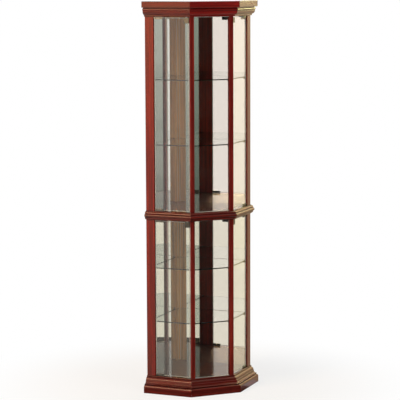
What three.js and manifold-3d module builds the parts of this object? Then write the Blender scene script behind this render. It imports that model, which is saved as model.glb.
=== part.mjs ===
// A corner curio cabinet: a glazed display case with five sides in plan that stands in the corner
// of a room. Two long walls meet at a right angle behind, and three faces look into the room: a
// fixed pane in front, and a slanting face on each side with an upper and a lower glass door.
// Millimetres, +Z up, the front face towards -Y, and the origin under the middle of the whole.

import * as THREE from "three";
import { mergeVertices } from "three/addons/utils/BufferGeometryUtils.js";
import Module from "manifold-3d";

const wasm = await Module();
wasm.setup();

// The body, measured without its mouldings
const totalHeight = 1800;
const centreFace = 214; // width of the front face
const sideFace = 221; // width of each slanting side face
const deckTop = 846; // height of the middle deck's upper surface
const panelThick = 18; // floor, ceiling and top boards, and the walls of the two hollow frames
const seam = 0.3; // gap left between neighbouring pieces

// Mouldings on the three front faces; a reach is measured out from the face of the body
const plinth = { height: 36, reach: 40, roundReach: 8, roundHeight: 11 };
const baseCap = {
  height: 40,
  beadHeight: 5.5,
  beadReach: 2.5, // where the bead's round starts
  quirk: 1, // height of the sunk line under the bead
  swellReach: 15.5,
  swellHeight: 14,
  swellTurn: 4.7, // below the top of the swell, where its round turns down
  fillet: 2, // small square step between the swell and the hollow
  hollowReach: 30,
  lipReach: 31,
  lipHeight: 5,
  underReach: 28,
};
const waist = {
  height: 40,
  reach: 20,
  beadHeight: 15,
  quirk: 1.2,
  quirkReach: 10.5,
  shoulderReach: 14,
  lipReach: 5,
  lipHeight: 2.5,
};
const crown = {
  height: 69,
  reach: 35,
  footReach: 7.5,
  footHeight: 7.5,
  footChamfer: 2,
  ovoloReach: 22.5,
  ovoloHeight: 17.5,
  quirk: 1.5,
  quirkDepth: 2,
  beadHeight: 10.5,
  shadowLine: 4, // sunk strip between the bead and the fascia
  edgeBevel: 1.5,
};

// Uprights
const post = {
  width: 21,
  depth: 18,
  shoulder: 6, // depth of the outer side, in front of the bevel at the back
  edge: 2,
  grooveDepth: 6,
  grooveFront: 7,
};
const stile = { width: 42, depth: 13, edge: 2 };
const cornerBoard = { thick: 8, face: 40 }; // face is the width seen from inside
const mirrorThick = 4;

// Glass
const arris = 0.8; // ground off every edge of the doors and shelves
const paneThick = 4;
const shelf = { thick: 5, postGap: 2, wallGap: 3, heelGap: 2 };
const lowerShelfShares = [0.349, 0.692]; // heights of the shelf tops within the lower case
const upperShelfShares = [0.344, 0.68];
const peg = { radius: 2.5, root: 1, bearing: 7, margin: 1.5 };

// Doors, hinged on pivots beside the outer stiles
const door = {
  thick: 5,
  inset: 6.5, // from the face of the stile back to the glass
  hingeGap: 2,
  postGap: 2.5,
  endGap: 4, // between the glass and the board above or below it
};
const pivot = {
  length: 38,
  heel: 14, // from the door's hinge edge to the pin's axis
  height: 10,
  cheek: 2.2,
  lift: 1, // clearance between the clip and the board
  round: 1.5,
  pinRadius: 3,
  pinSeat: 6, // how far the pin stands in its hole
  holeSpare: 0.5,
};
const strike = { width: 24, height: 25, sheet: 1.2, round: 4, fold: 1 };
const latch = {
  width: 14,
  height: 16,
  length: 40,
  round: 2,
  postClearance: 2.2,
  headRadius: 3.5,
  headThick: 3,
  headEdge: 0.6,
  stemRadius: 2.5,
  stemLength: 14,
  travel: 3,
  nose: 0.5, // gap left in front of the body when the plunger is pressed home
  axisDrop: 9, // from the ceiling down to the plunger's axis
  boreSpare: 4,
};

// Number of flats that stand for a round
const flats = { curve: 6, peg: 8, pin: 16, plunger: 20 };

// Levels and places that follow from the sizes above
const baseTop = plinth.height + baseCap.height;
const deckBottom = deckTop - waist.height;
const ceiling = totalHeight - crown.height;
const quarter = Math.PI / 4; // the side faces turn back by this angle
const mitre = Math.tan(quarter / 2);
const sideRun = sideFace * Math.SQRT1_2; // how far a side face runs back, and out
const halfWidth = centreFace / 2 + sideRun;
const cornerDepth = sideRun + halfWidth;
const wallLength = halfWidth * Math.SQRT2;
const backThick = cornerBoard.thick - mirrorThick - seam;
const doorCentre = door.inset + door.thick / 2;
const hingeEdge = sideFace / 2 - stile.width - door.hingeGap;
const pivotPlace = hingeEdge - pivot.heel;
const strikeBack = door.inset + door.thick + seam + strike.sheet;
const postBevel = post.shoulder * Math.SQRT1_2 - sideFace / 2; // square to the side face
const strikeEnd = postBevel + door.postGap;
const freeEdge = strikeEnd + strike.sheet + seam;
const heelSweep = Math.hypot(pivot.heel, door.thick / 2 + seam + pivot.cheek);
const shelfInset = {
  front: post.depth + shelf.postGap,
  side: doorCentre + heelSweep + shelf.heelGap,
  wall: cornerBoard.thick + shelf.wallGap,
};

const cherry = new THREE.MeshStandardMaterial({ color: 0x7d2a1c, roughness: 0.28, metalness: 0 });
const cherryInside = new THREE.MeshStandardMaterial({ color: 0x6b3a26, roughness: 0.35, metalness: 0 });
const hardboard = new THREE.MeshStandardMaterial({ color: 0x7a5a3e, roughness: 0.8, metalness: 0 });
const silvering = new THREE.MeshStandardMaterial({ color: 0xe6ebea, roughness: 0.02, metalness: 1 });
const steel = new THREE.MeshStandardMaterial({ color: 0xb9bbb8, roughness: 0.25, metalness: 1 });
const blackPlastic = new THREE.MeshStandardMaterial({ color: 0x17181a, roughness: 0.5, metalness: 0 });
const glass = new THREE.MeshStandardMaterial({
  color: 0xdfeee8,
  roughness: 0.03,
  metalness: 0,
  transparent: true,
  opacity: 0.3,
});

// Joining and cutting of closed meshes

function solidOf(geometry) {
  const bare = geometry.clone();
  bare.deleteAttribute("normal");
  bare.deleteAttribute("uv");
  const merged = mergeVertices(bare);
  const mesh = new wasm.Mesh({
    numProp: 3,
    vertProperties: merged.attributes.position.array,
    triVerts: new Uint32Array(merged.index.array),
  });
  return new wasm.Manifold(mesh);
}

function geometryOf(solid) {
  const { vertProperties, triVerts } = solid.getMesh();
  const geometry = new THREE.BufferGeometry();
  geometry.setAttribute("position", new THREE.BufferAttribute(new Float32Array(vertProperties), 3));
  geometry.setIndex(new THREE.BufferAttribute(new Uint32Array(triVerts), 1));
  geometry.computeVertexNormals();
  return geometry;
}

function cut(geometry, tools) {
  return geometryOf(tools.reduce((whole, tool) => whole.subtract(solidOf(tool)), solidOf(geometry)));
}

function join(geometry, extras) {
  return geometryOf(extras.reduce((whole, extra) => whole.add(solidOf(extra)), solidOf(geometry)));
}

function common(geometry, other) {
  return geometryOf(solidOf(geometry).intersect(solidOf(other)));
}

// Shapes

// A closed outline through corners of [x, y] or [x, y, rounding].
function roundedShape(corners) {
  const shape = new THREE.Shape();
  corners.forEach(([x, y, rounding = 0], i) => {
    const corner = new THREE.Vector2(x, y);
    const [before, after] = [corners.at(i - 1), corners[(i + 1) % corners.length]].map((near) =>
      new THREE.Vector2(near[0] - x, near[1] - y).normalize().multiplyScalar(rounding).add(corner),
    );
    if (i === 0) shape.moveTo(before.x, before.y);
    else shape.lineTo(before.x, before.y);
    if (rounding > 0) shape.quadraticCurveTo(x, y, after.x, after.y);
  });
  return shape;
}

function extrude(shape, length) {
  const options = { depth: length, bevelEnabled: false, curveSegments: flats.curve };
  return new THREE.ExtrudeGeometry(shape, options);
}

// A sheet of glass of this outline, as thick as given, with its arrises ground off.
function groundSheet(shape, thick) {
  const options = {
    depth: thick - 2 * arris,
    bevelThickness: arris,
    bevelSize: arris,
    bevelOffset: -arris,
    bevelSegments: 1,
  };
  return new THREE.ExtrudeGeometry(shape, options).translate(0, 0, arris);
}

// An upright piece of constant section, from one height to another.
function upright(shape, bottom, top) {
  return extrude(shape, top - bottom).translate(0, 0, bottom);
}

// A section drawn as (reach, height), run along x. Its middle lies at x = 0, and reach grows to -y.
function lengthwise(shape, length) {
  const axes = new THREE.Matrix4().makeBasis(
    new THREE.Vector3(0, -1, 0),
    new THREE.Vector3(0, 0, 1),
    new THREE.Vector3(-1, 0, 0),
  );
  return extrude(shape, length).applyMatrix4(axes).translate(length / 2, 0, 0);
}

function block(x, y, z) {
  const size = [x, y, z].map(([low, high]) => high - low);
  const middle = [x, y, z].map(([low, high]) => (low + high) / 2);
  return new THREE.BoxGeometry(...size).translate(...middle);
}

// The body's outline in plan, each edge set in from its own face by the given distance.
function bodyOutline(front, side, wall) {
  const faces = [
    { facing: -2 * quarter, reach: -front },
    { facing: -quarter, reach: (centreFace / 2) * Math.SQRT1_2 - side },
    { facing: quarter, reach: (centreFace / 2) * Math.SQRT1_2 + sideFace - wall },
    { facing: 3 * quarter, reach: (centreFace / 2) * Math.SQRT1_2 + sideFace - wall },
    { facing: 5 * quarter, reach: (centreFace / 2) * Math.SQRT1_2 - side },
  ];
  const lines = faces.map(({ facing, reach }) => [Math.cos(facing), Math.sin(facing), reach]);
  return lines.map(([ax, ay, a], i) => {
    const [bx, by, b] = lines[(i + 1) % lines.length];
    const spread = ax * by - ay * bx;
    return new THREE.Vector2((a * by - b * ay) / spread, (b * ax - a * bx) / spread);
  });
}

// Places. Side is -1 on the left and 1 on the right.

const sideNames = { "-1": "left", 1: "right" };
const cabinet = new THREE.Group();
cabinet.position.y = -(cornerDepth - plinth.reach) / 2;

function frameAt(x, y, turn) {
  const frame = new THREE.Group();
  frame.position.set(x, y, 0);
  frame.rotation.z = turn;
  frame.updateMatrix();
  cabinet.add(frame);
  return frame;
}

// On a face, x runs along it from its middle and y runs into the cabinet. On a side face, side * x
// grows towards the wall, and on a wall it grows towards the corner behind.
const frontFrame = frameAt(0, 0, 0);
const sideFrames = {};
const wallFrames = {};
for (const side of [-1, 1]) {
  sideFrames[side] = frameAt(side * (centreFace / 2 + sideRun / 2), sideRun / 2, side * quarter);
  wallFrames[side] = frameAt((side * halfWidth) / 2, (sideRun + cornerDepth) / 2, side * 3 * quarter);
}

function place(frame, name, geometry, material) {
  const mesh = new THREE.Mesh(geometry, material);
  mesh.name = name;
  frame.add(mesh);
  return mesh;
}

// A geometry of one frame, seen from the cabinet's own.
function moved(frame, geometry) {
  return geometry.applyMatrix4(frame.matrix);
}

// Moulding sections, drawn from the back at their foot

function plinthSection() {
  const shape = new THREE.Shape();
  const { height, reach, roundReach, roundHeight } = plinth;
  shape.moveTo(seam, 0);
  shape.lineTo(reach, 0);
  shape.lineTo(reach, height - roundHeight);
  shape.absellipse(reach - roundReach, height - roundHeight, roundReach, roundHeight, 0, Math.PI / 2);
  shape.lineTo(seam, height);
  return shape;
}

function baseCapSection() {
  const c = baseCap;
  const shape = new THREE.Shape();
  const beadRadius = c.beadHeight / 2;
  const swellTop = c.height - c.beadHeight - c.quirk;
  const swellFoot = swellTop - c.swellHeight;
  const hollowTop = swellFoot - c.fillet;
  shape.moveTo(seam, 0);
  shape.lineTo(c.underReach, 0);
  shape.lineTo(c.lipReach, c.lipReach - c.underReach);
  shape.lineTo(c.lipReach, c.lipHeight);
  shape.lineTo(c.hollowReach, c.lipHeight + c.lipReach - c.hollowReach);
  shape.quadraticCurveTo(
    c.swellReach + c.fillet,
    c.lipHeight + c.lipReach - c.hollowReach,
    c.swellReach + c.fillet,
    hollowTop,
  );
  shape.lineTo(c.swellReach, swellFoot);
  shape.quadraticCurveTo(c.swellReach, swellTop - c.swellTurn, c.beadReach + beadRadius, swellTop);
  shape.lineTo(c.beadReach, swellTop + c.quirk);
  shape.absarc(c.beadReach, c.height - beadRadius, beadRadius, -Math.PI / 2, Math.PI / 2);
  shape.lineTo(seam, c.height);
  return shape;
}

function waistSection() {
  const w = waist;
  const shape = new THREE.Shape();
  const middle = w.height / 2;
  const beadRadius = w.beadHeight / 2;
  const shoulder = beadRadius + w.quirk; // from the middle out to where the shoulder starts
  const lip = middle - w.lipHeight;
  shape.moveTo(seam, 0);
  shape.lineTo(w.lipReach, 0);
  shape.lineTo(w.lipReach, middle - lip);
  shape.quadraticCurveTo(w.shoulderReach, middle - lip, w.shoulderReach, middle - shoulder);
  shape.lineTo(w.quirkReach, middle - beadRadius);
  shape.absarc(w.reach - beadRadius, middle, beadRadius, -Math.PI / 2, Math.PI / 2);
  shape.lineTo(w.quirkReach, middle + beadRadius);
  shape.lineTo(w.shoulderReach, middle + shoulder);
  shape.quadraticCurveTo(w.shoulderReach, middle + lip, w.lipReach, middle + lip);
  shape.lineTo(w.lipReach, w.height);
  shape.lineTo(seam, w.height);
  return shape;
}

function crownSection() {
  const c = crown;
  const shape = new THREE.Shape();
  const ovoloTop = c.footHeight + c.ovoloHeight;
  const beadFoot = ovoloTop + c.quirk;
  const beadTop = beadFoot + c.beadHeight;
  const sunk = c.ovoloReach - c.quirkDepth;
  const fasciaFoot = beadTop + c.shadowLine;
  shape.moveTo(seam, 0);
  shape.lineTo(c.footReach - c.footChamfer, 0);
  shape.lineTo(c.footReach, c.footChamfer);
  shape.lineTo(c.footReach, c.footHeight);
  shape.absellipse(c.footReach, ovoloTop, c.ovoloReach - c.footReach, c.ovoloHeight, -Math.PI / 2, 0);
  shape.lineTo(sunk, beadFoot);
  shape.absarc(sunk, beadFoot + c.beadHeight / 2, c.beadHeight / 2, -Math.PI / 2, Math.PI / 2);
  shape.lineTo(sunk, fasciaFoot);
  shape.lineTo(c.reach - c.edgeBevel, fasciaFoot);
  shape.lineTo(c.reach, fasciaFoot + c.edgeBevel);
  shape.lineTo(c.reach, c.height - c.edgeBevel);
  shape.lineTo(c.reach - c.edgeBevel, c.height);
  shape.lineTo(seam, c.height);
  return shape;
}

// A moulding along one face. A mitred end follows the corner out, half a seam back from it.
function moulding(section, faceWidth, mitredLeft, mitredRight, bottom) {
  const geometry = lengthwise(section, faceWidth);
  const points = geometry.getAttribute("position");
  for (let i = 0; i < points.count; i += 1) {
    const end = Math.sign(points.getX(i));
    const mitred = end < 0 ? mitredLeft : mitredRight;
    const shift = mitred ? -points.getY(i) * mitre - seam / 2 : 0;
    points.setX(i, points.getX(i) + end * shift);
  }
  return geometry.translate(0, 0, bottom);
}

function mouldingSet(name, section, bottom) {
  place(frontFrame, `${name}_front`, moulding(section(), centreFace, true, true, bottom), cherry);
  for (const side of [-1, 1]) {
    const geometry = moulding(section(), sideFace, side > 0, side < 0, bottom);
    place(sideFrames[side], `${name}_${sideNames[side]}`, geometry, cherry);
  }
}

// Boards across the whole body

// A five-sided frame of boards on edge, open above and below.
function hollowFrame(bottom, top) {
  const shape = new THREE.Shape(bodyOutline(0, 0, 0));
  shape.holes.push(new THREE.Path(bodyOutline(panelThick, panelThick, panelThick)));
  return upright(shape, bottom, top);
}

function fullBoard(bottom, top) {
  return upright(new THREE.Shape(bodyOutline(0, 0, 0)), bottom, top);
}

// Blind holes for the door pins. The tool reaches as far out of the surface as into it.
function pinHoles(level) {
  const reach = pivot.pinSeat + pivot.holeSpare;
  const radius = pivot.pinRadius + seam;
  return [-1, 1].map((side) => {
    const hole = new THREE.CylinderGeometry(radius, radius, 2 * reach, flats.pin).rotateX(Math.PI / 2);
    return moved(sideFrames[side], hole.translate(side * pivotPlace, doorCentre, level));
  });
}

function postSection(side) {
  const [inner, outer] = [centreFace / 2 - post.width, centreFace / 2];
  const grooveBack = post.grooveFront + paneThick + 2 * seam;
  const corners = [
    [inner, 0, post.edge],
    [outer, 0, post.edge],
    [outer, post.shoulder],
    [outer + post.shoulder - post.depth, post.depth],
    [inner, post.depth],
    [inner, grooveBack],
    [inner + post.grooveDepth, grooveBack],
    [inner + post.grooveDepth, post.grooveFront],
    [inner, post.grooveFront],
  ];
  return roundedShape(corners.map(([x, y, rounding]) => [side * x, y, rounding]));
}

// The room that a front post takes out of the middle deck, a seam more than its outline all round.
function postNotch(side) {
  const [inner, outer] = [centreFace / 2 - post.width - seam, centreFace / 2 + seam];
  const back = post.depth + seam;
  const bevelSum = centreFace / 2 + post.shoulder + seam * Math.SQRT2; // x + y all along the bevel
  const corners = [
    [inner, -seam],
    [outer, -seam],
    [outer, bevelSum - outer],
    [bevelSum - back, back],
    [inner, back],
  ];
  return upright(roundedShape(corners.map(([x, y]) => [side * x, y])), deckBottom - seam, deckTop + seam);
}

// The room that all the uprights take out of the middle deck.
function deckNotches() {
  const height = [deckBottom - seam, deckTop + seam];
  return [-1, 1].flatMap((side) => {
    const across = (low, high) => [side * low, side * high].sort((a, b) => a - b);
    const stileX = across(sideFace / 2 - stile.width - seam, sideFace / 2 + seam);
    const boardX = across(wallLength / 2 - cornerBoard.thick - cornerBoard.face - seam, wallLength / 2 + seam);
    return [
      postNotch(side),
      moved(sideFrames[side], block(stileX, [-seam, stile.depth + seam], height)),
      moved(wallFrames[side], block(boardX, [-seam, cornerBoard.thick + seam], height)),
    ];
  });
}

// Uprights with their shelf pegs

const shelfTops = [
  ...lowerShelfShares.map((share) => baseTop + share * (deckBottom - baseTop)),
  ...upperShelfShares.map((share) => deckTop + share * (ceiling - deckTop)),
];

// Round pegs that stick out along y under every shelf, rooted in the upright that carries them.
function shelfPegs(x, face, end) {
  const length = end - face + peg.root;
  const halfFlat = Math.PI / flats.peg; // turns the peg so that a flat lies on top
  const flatHeight = peg.radius * Math.cos(halfFlat);
  return shelfTops.map((top) =>
    new THREE.CylinderGeometry(peg.radius, peg.radius, length, flats.peg)
      .rotateY(halfFlat)
      .translate(x, face - peg.root + length / 2, top - shelf.thick - seam - flatHeight),
  );
}

function frontPost(side) {
  const x = side * (centreFace / 2 - post.width + peg.radius + peg.margin);
  const pegs = shelfPegs(x, post.depth, shelfInset.front + peg.bearing);
  return join(upright(postSection(side), baseTop, ceiling), pegs);
}

function sideStile(side) {
  const [inner, outer] = [sideFace / 2 - stile.width, sideFace / 2];
  const corners = [
    [inner, 0, stile.edge],
    [outer, 0, stile.edge],
    [outer, stile.depth],
    [inner, stile.depth],
  ];
  const section = roundedShape(corners.map(([x, y, rounding]) => [side * x, y, rounding]));
  const pegs = shelfPegs((side * (inner + outer)) / 2, stile.depth, shelfInset.side + peg.bearing);
  return join(upright(section, baseTop, ceiling), pegs);
}

// One of the two boards that meet in a mitre at the corner behind.
function backBoard(side) {
  const { thick, face } = cornerBoard;
  const corner = wallLength / 2 - seam / 2;
  const corners = [
    [wallLength / 2 - thick - face, 0],
    [corner, 0],
    [corner - thick, thick],
    [wallLength / 2 - thick - face, thick],
  ];
  const section = roundedShape(corners.map(([x, y]) => [side * x, y]));
  const pegX = side * (wallLength / 2 - thick - face / 2);
  const pegs = shelfPegs(pegX, thick, shelfInset.wall + peg.bearing);
  return join(upright(section, baseTop, ceiling), pegs);
}

// Doors and their fittings. Level is where the fitting's board is, and up is 1 above the board.

// A clip that grips the edge of the glass, with the pin on which the door turns.
function pivotClip(side) {
  const half = door.thick / 2 + seam + pivot.cheek;
  const slot = door.thick / 2 + seam;
  const slotFoot = door.endGap - seam;
  const top = pivot.lift + pivot.height;
  const section = roundedShape([
    [-half, pivot.lift, pivot.round],
    [half, pivot.lift, pivot.round],
    [half, top, pivot.cheek / 2],
    [slot, top],
    [slot, slotFoot],
    [-slot, slotFoot],
    [-slot, top],
    [-half, top, pivot.cheek / 2],
  ]);
  const clip = lengthwise(section, pivot.length).translate(side * (pivot.heel - pivot.length / 2), 0, 0);
  const pinTop = (pivot.lift + slotFoot) / 2;
  const pinLength = pinTop + pivot.pinSeat;
  const pin = new THREE.CylinderGeometry(pivot.pinRadius, pivot.pinRadius, pinLength, flats.pin)
    .rotateX(Math.PI / 2)
    .translate(0, 0, pinTop - pinLength / 2);
  return join(clip, [pin]);
}

// A folded metal plate over the free corner of the glass, which the latch's magnet holds.
function strikePlate(side, glassTop) {
  const front = door.inset - seam - strike.sheet;
  const slotFront = door.inset - seam;
  const slotBack = door.inset + door.thick + seam;
  const open = strikeEnd + strike.width;
  const slotEnd = strikeEnd + strike.sheet;
  const corners = [
    [strikeEnd, front, strike.fold],
    [open, front],
    [open, slotFront],
    [slotEnd, slotFront],
    [slotEnd, slotBack],
    [open, slotBack],
    [open, strikeBack],
    [strikeEnd, strikeBack, strike.fold],
  ];
  const section = roundedShape(corners.map(([x, y, rounding]) => [side * x, y, rounding]));
  const folded = upright(section, glassTop - strike.height, glassTop);
  const face = roundedShape([
    [side * strikeEnd, glassTop - strike.height, strike.round],
    [side * open, glassTop - strike.height, strike.round],
    [side * open, glassTop, strike.round],
    [side * strikeEnd, glassTop, strike.round],
  ]);
  const through = strikeBack + 2 * strike.sheet; // the outline stands out in front and behind
  const outline = extrude(face, through).rotateX(Math.PI / 2).translate(0, strikeBack + strike.sheet, 0);
  return common(folded, outline);
}

const latchPlace = postBevel + latch.postClearance + latch.width / 2;
const plungerFront = strikeBack + seam;
const latchNose = plungerFront + latch.headThick + latch.travel + latch.nose;

function latchBody(side, level) {
  const section = roundedShape([
    [-latch.width / 2, -latch.height, latch.round],
    [latch.width / 2, -latch.height, latch.round],
    [latch.width / 2, 0],
    [-latch.width / 2, 0],
  ]);
  const turned = extrude(section, latch.length).rotateX(Math.PI / 2).translate(0, latch.length, 0);
  const depth = latch.stemLength - latch.nose + latch.boreSpare;
  const radius = latch.stemRadius + seam;
  const bore = new THREE.CylinderGeometry(radius, radius, 2 * depth, flats.pin);
  return cut(turned, [bore.translate(0, 0, -latch.axisDrop)]).translate(side * latchPlace, latchNose, level);
}

// The plunger: a flat magnet head on a stem that slides in the body.
function latchPlunger(side, level) {
  const { headRadius, headThick, headEdge, stemRadius, stemLength } = latch;
  const profile = [
    [0, 0],
    [headRadius - headEdge, 0],
    [headRadius, headEdge],
    [headRadius, headThick],
    [stemRadius, headThick],
    [stemRadius, headThick + stemLength],
    [0, headThick + stemLength],
  ].map(([radius, along]) => new THREE.Vector2(radius, along));
  const plunger = new THREE.LatheGeometry(profile, flats.plunger);
  return plunger.translate(side * latchPlace, plungerFront, level - latch.axisDrop);
}

// The door's glass, seen from the front: x runs along the face and y upwards.
function doorPane(side, floor, top) {
  const [low, high] = [side * freeEdge, side * hingeEdge].sort((a, b) => a - b);
  const outline = roundedShape([
    [low, floor + door.endGap],
    [high, floor + door.endGap],
    [high, top - door.endGap],
    [low, top - door.endGap],
  ]);
  return groundSheet(outline, door.thick).rotateX(Math.PI / 2).translate(0, door.inset + door.thick, 0);
}

function hangDoor(side, story, floor, top) {
  const frame = sideFrames[side];
  const name = `${story}_${sideNames[side]}`;
  place(frame, `door_glass_${name}`, doorPane(side, floor, top), glass);
  const foot = place(frame, `pivot_clip_${name}_bottom`, pivotClip(side), steel);
  foot.position.set(side * pivotPlace, doorCentre, floor);
  const head = place(frame, `pivot_clip_${name}_top`, pivotClip(side), steel);
  head.position.set(side * pivotPlace, doorCentre, top);
  head.rotation.x = Math.PI;
  place(frame, `strike_plate_${name}`, strikePlate(side, top - door.endGap), steel);
  place(frame, `latch_body_${name}`, latchBody(side, top), blackPlastic);
  place(frame, `latch_plunger_${name}`, latchPlunger(side, top), steel);
}

// The cabinet, from the floor up

place(frontFrame, "base_frame", hollowFrame(0, baseTop - panelThick), cherryInside);
mouldingSet("plinth", plinthSection, 0);
mouldingSet("base_cap", baseCapSection, plinth.height);
place(frontFrame, "floor_board", cut(fullBoard(baseTop - panelThick, baseTop), pinHoles(baseTop)), cherry);

const deckOutline = new THREE.Shape(bodyOutline(0, 0, backThick + seam));
const deckCuts = [...deckNotches(), ...pinHoles(deckBottom), ...pinHoles(deckTop)];
place(frontFrame, "middle_deck", cut(upright(deckOutline, deckBottom, deckTop), deckCuts), cherry);
mouldingSet("waist_rail", waistSection, deckBottom);

const ceilingBoard = fullBoard(ceiling, ceiling + panelThick);
place(frontFrame, "ceiling_board", cut(ceilingBoard, pinHoles(ceiling)), cherry);
place(frontFrame, "top_frame", hollowFrame(ceiling + panelThick, totalHeight - panelThick), cherryInside);
place(frontFrame, "top_board", fullBoard(totalHeight - panelThick, totalHeight), cherry);
mouldingSet("crown", crownSection, ceiling);

const cases = [
  ["lower", baseTop, deckBottom],
  ["upper", deckTop, ceiling],
];
for (const side of [-1, 1]) {
  const hand = sideNames[side];
  place(frontFrame, `front_post_${hand}`, frontPost(side), cherry);
  place(sideFrames[side], `side_stile_${hand}`, sideStile(side), cherry);
  place(wallFrames[side], `corner_board_${hand}`, backBoard(side), cherryInside);

  const wallStart = side * (stile.depth + seam - wallLength / 2);
  const wallEnd = side * (wallLength / 2 - cornerBoard.thick - cornerBoard.face - seam);
  const along = [wallStart, wallEnd].sort((a, b) => a - b);
  place(wallFrames[side], `back_panel_${hand}`, block(along, [0, backThick], [baseTop, ceiling]), hardboard);
  for (const [story, floor, top] of cases) {
    const mirror = block(along, [cornerBoard.thick - mirrorThick, cornerBoard.thick], [floor + seam, top - seam]);
    place(wallFrames[side], `mirror_${story}_${hand}`, mirror, silvering);
    hangDoor(side, story, floor, top);
  }
}

const paneHalf = centreFace / 2 - post.width + post.grooveDepth - seam;
const paneDepth = [post.grooveFront + seam, post.grooveFront + seam + paneThick];
for (const [story, floor, top] of cases) {
  const pane = block([-paneHalf, paneHalf], paneDepth, [floor + seam, top - seam]);
  place(frontFrame, `front_glass_${story}`, pane, glass);
}

const shelfShape = new THREE.Shape(bodyOutline(shelfInset.front, shelfInset.side, shelfInset.wall));
const shelfNames = ["lower_1", "lower_2", "upper_1", "upper_2"];
shelfTops.forEach((top, i) => {
  const sheet = groundSheet(shelfShape, shelf.thick).translate(0, 0, top - shelf.thick);
  place(frontFrame, `shelf_${shelfNames[i]}`, sheet, glass);
});

export default cabinet;
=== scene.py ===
# Looks for a corner curio cabinet: cherry lacquer, float glass, mirrors and small metal fittings.
import math

import bmesh
import bpy
from mathutils import Matrix, Vector


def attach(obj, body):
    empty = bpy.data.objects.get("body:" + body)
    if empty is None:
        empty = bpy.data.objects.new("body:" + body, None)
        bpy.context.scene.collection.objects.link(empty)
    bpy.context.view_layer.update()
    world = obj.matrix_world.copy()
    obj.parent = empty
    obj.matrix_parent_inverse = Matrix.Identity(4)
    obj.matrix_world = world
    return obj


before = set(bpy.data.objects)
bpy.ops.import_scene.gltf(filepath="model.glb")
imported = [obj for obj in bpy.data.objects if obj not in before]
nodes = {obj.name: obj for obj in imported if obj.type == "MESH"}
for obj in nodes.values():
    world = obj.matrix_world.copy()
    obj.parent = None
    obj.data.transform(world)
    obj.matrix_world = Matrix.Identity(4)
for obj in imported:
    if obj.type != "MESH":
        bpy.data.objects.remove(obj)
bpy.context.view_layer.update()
mm = 0.001
eighth = math.pi / 4  # of a turn
slant = math.sqrt(0.5)  # share of a slanting length that runs along either axis


def linear(hexText):
    # an sRGB hex value as linear red, green, blue and a full alpha
    parts = [int(hexText[i:i + 2], 16) / 255 for i in (1, 3, 5)]
    return [p / 12.92 if p <= 0.04045 else ((p + 0.055) / 1.055) ** 2.4 for p in parts] + [1.0]


def addNode(tree, kind, inputs=None, **settings):
    # settings are the node's own; an input is a value or another node's output
    node = tree.nodes.new("ShaderNode" + kind)
    for name, value in settings.items():
        setattr(node, name, value)
    for name, value in (inputs or {}).items():
        if isinstance(value, bpy.types.NodeSocket):
            tree.links.new(value, node.inputs[name])
        else:
            node.inputs[name].default_value = value
    return node


def newTree(name):
    material = bpy.data.materials.new(name)
    material.use_nodes = True
    material.node_tree.nodes.clear()
    return material, material.node_tree


# The camera stands where the photograph was taken from: 8 m away, well left of the middle and a
# little higher than the cabinet.
cameraFacts = {
    "place": (-3.1251, -7.4249, 1.9245),  # metres
    "turn": 22.9558,  # degrees from +Y towards +X
    "down": 7.407,
    "roll": -0.2038,
    "focalPixels": 1744.11,  # for an image 400 pixels wide
    "imageWidth": 400,
    "sensor": 36,  # mm
    "farthest": 60,
}


def setCamera(facts):
    turn, down, roll = (math.radians(facts[k]) for k in ("turn", "down", "roll"))
    ahead = Vector((math.sin(turn) * math.cos(down), math.cos(turn) * math.cos(down), -math.sin(down)))
    level = Vector((math.cos(turn), -math.sin(turn), 0))
    above = level.cross(ahead)
    right = level * math.cos(roll) + above * math.sin(roll)
    up = above * math.cos(roll) - level * math.sin(roll)
    data = bpy.data.cameras.new("camera")
    data.sensor_width = facts["sensor"]
    data.lens = facts["focalPixels"] / facts["imageWidth"] * facts["sensor"]
    data.clip_end = facts["farthest"]
    camera = bpy.data.objects.new("camera", data)
    bpy.context.scene.collection.objects.link(camera)
    axes = Matrix((right, up, -ahead)).transposed().to_4x4()
    camera.matrix_world = Matrix.Translation(facts["place"]) @ axes
    bpy.context.scene.camera = camera


setCamera(cameraFacts)
bpy.context.scene.view_settings.view_transform = "Standard"
print("camera set")

# The studio: white all round to the eye and to gloss, and softly lit from above.
studioFacts = {
    "air": "#eef0f2",
    "airLevel": (0.26, 0.62),  # strength of the light from all round, at the horizon and overhead
    "floorHalf": 7.0,  # metres
    "floorColour": "#f4f3f1",
    "shade": dict(near=0.4, far=1.15, least=0.72),  # where the floor's own shadow runs out to white
}
lampFacts = {  # places and sizes in metres, powers in watts
    "key_softbox": dict(place=(-2.95, -0.95, 2.4), high=1.2, size=1.2, power=68, colour="#ffdcae",
                        gloss=True),
    "fill_softbox": dict(place=(1.2, -3.4, 2.6), high=1.5, size=1.6, power=19, colour="#fff6ee",
                         gloss=False),
    "back_softbox": dict(place=(1.8, 2.2, 2.6), high=1.0, size=1.6, power=36, colour="#fff6e8",
                         gloss=False),
    "right_softbox": dict(place=(2.9, 1.0, 2.6), high=1.0, size=1.6, power=140, colour="#eff0a6",
                          gloss=True, matt=False),  # it only puts a yellow sheen on the right-hand mouldings
}


def plainRays(tree):
    # 1 for what the eye, a mirror or glass sees, 0 for what only lights the cabinet
    path = addNode(tree, "LightPath").outputs
    seen = path["Is Camera Ray"]
    for kind in ("Is Glossy Ray", "Is Transmission Ray"):
        seen = addNode(tree, "Math", {0: seen, 1: path[kind]}, operation="MAXIMUM").outputs[0]
    return seen


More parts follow.
